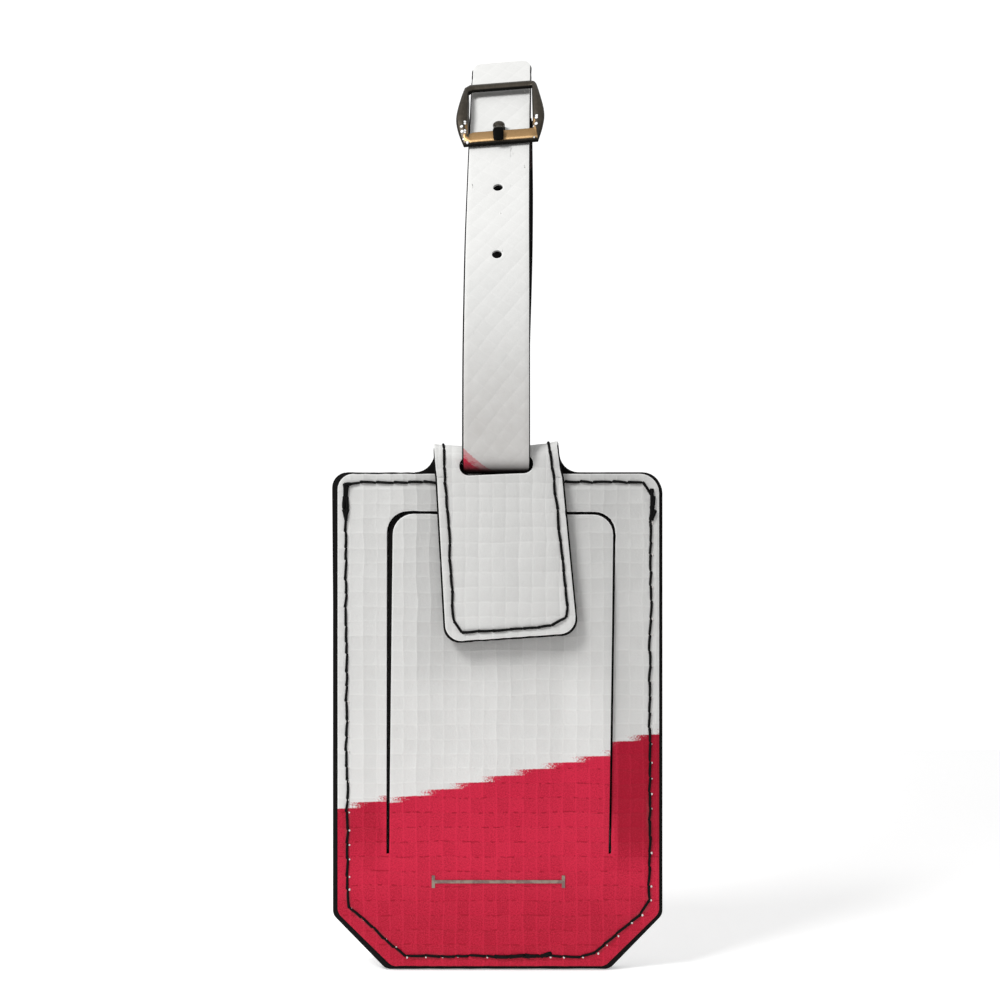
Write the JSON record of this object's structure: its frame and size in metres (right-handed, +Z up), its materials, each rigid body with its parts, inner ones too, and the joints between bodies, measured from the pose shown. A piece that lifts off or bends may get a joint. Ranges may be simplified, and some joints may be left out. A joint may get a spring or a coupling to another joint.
{
  "type": "luggage tag",
  "caption": "Stitched vinyl luggage tag: a card holder with a cut privacy cover and a fold-over tab, hung by a slot from a strap with a centre-bar pin buckle.",
  "frame": {"origin": "centre of the strap's loop, where a bag's handle passes", "axes": "+Z up the tag and strap, -Y out of the tag's front, +X to the right seen from the front"},
  "size_m": [0.0723, 0.0505, 0.2103],
  "materials": {
    "printed_vinyl": "coated billboard vinyl with a woven scrim relief, printed white above a crimson field",
    "white_vinyl": "coated billboard vinyl with a woven scrim relief, white",
    "strap_vinyl": "coated billboard vinyl cut on the bias, white with crimson at one end",
    "black_lining": "matte black sheet",
    "sewing_thread": "black bonded thread",
    "clear_film": "clear flexible film",
    "card_stock": "uncoated card",
    "foil": "stamped grey-tan foil",
    "gunmetal": "dark plated zinc casting, polished"
  },
  "bodies": {
    "strap": {"strap_face": "strap_vinyl", "strap_lining": "black_lining", "strap_tail_thread": "sewing_thread"},
    "buckle": {"buckle_frame": "gunmetal", "buckle_centre_bar": "gunmetal"},
    "prong": {"buckle_prong": "gunmetal"},
    "holder": {"front_panel": "printed_vinyl", "front_lining": "black_lining", "window_sheet": "clear_film", "back_lining": "black_lining", "back_panel": "white_vinyl", "edge_thread_front": "sewing_thread", "edge_thread_back": "sewing_thread", "mouth_thread": "sewing_thread", "neck_thread_left": "sewing_thread", "neck_thread_right": "sewing_thread", "foil_mark": "foil"},
    "card": {"id_card": "card_stock"},
    "cover": {"privacy_cover": "printed_vinyl", "cover_lining": "black_lining"},
    "tab": {"tab_face": "white_vinyl", "tab_lining": "black_lining", "tab_thread_front": "sewing_thread", "tab_thread_back": "sewing_thread"}
  },
  "joints": [
    {"name": "tag_swing", "type": "hinge", "parent": "strap", "child": "holder", "pos_m": [0, -0.00925, -0.0342], "axis": [1, 0, 0], "range_deg": [-45, 60]},
    {"name": "cover_open", "type": "hinge", "parent": "holder", "child": "cover", "pos_m": [0, -0.0103, -0.1217], "axis": [1, 0, 0], "range_deg": [0, 150], "stiffness_Nm_per_rad": 0.008, "deforming": ["tab_face", "tab_lining", "tab_thread_front", "tab_thread_back"]},
    {"name": "tab_lift", "type": "hinge", "parent": "holder", "child": "tab", "pos_m": [0, -0.0123, -0.0405], "axis": [-1, 0, 0], "range_deg": [0, 130], "stiffness_Nm_per_rad": 0.001},
    {"name": "card_slide", "type": "slide", "parent": "holder", "child": "card", "axis": [0, 0, 1], "range_m": [0, 0.006]},
    {"name": "buckle_rock", "type": "hinge", "parent": "strap", "child": "buckle", "pos_m": [0.0007, 0.02684, 0.04501], "axis": [0.9954, -0.077, 0.057], "range_deg": [-2.5, 1.5]},
    {"name": "prong_lift", "type": "hinge", "parent": "buckle", "child": "prong", "pos_m": [0.0007, 0.02684, 0.04501], "axis": [-0.9954, 0.077, -0.057], "range_deg": [0, 4]}
  ]
}
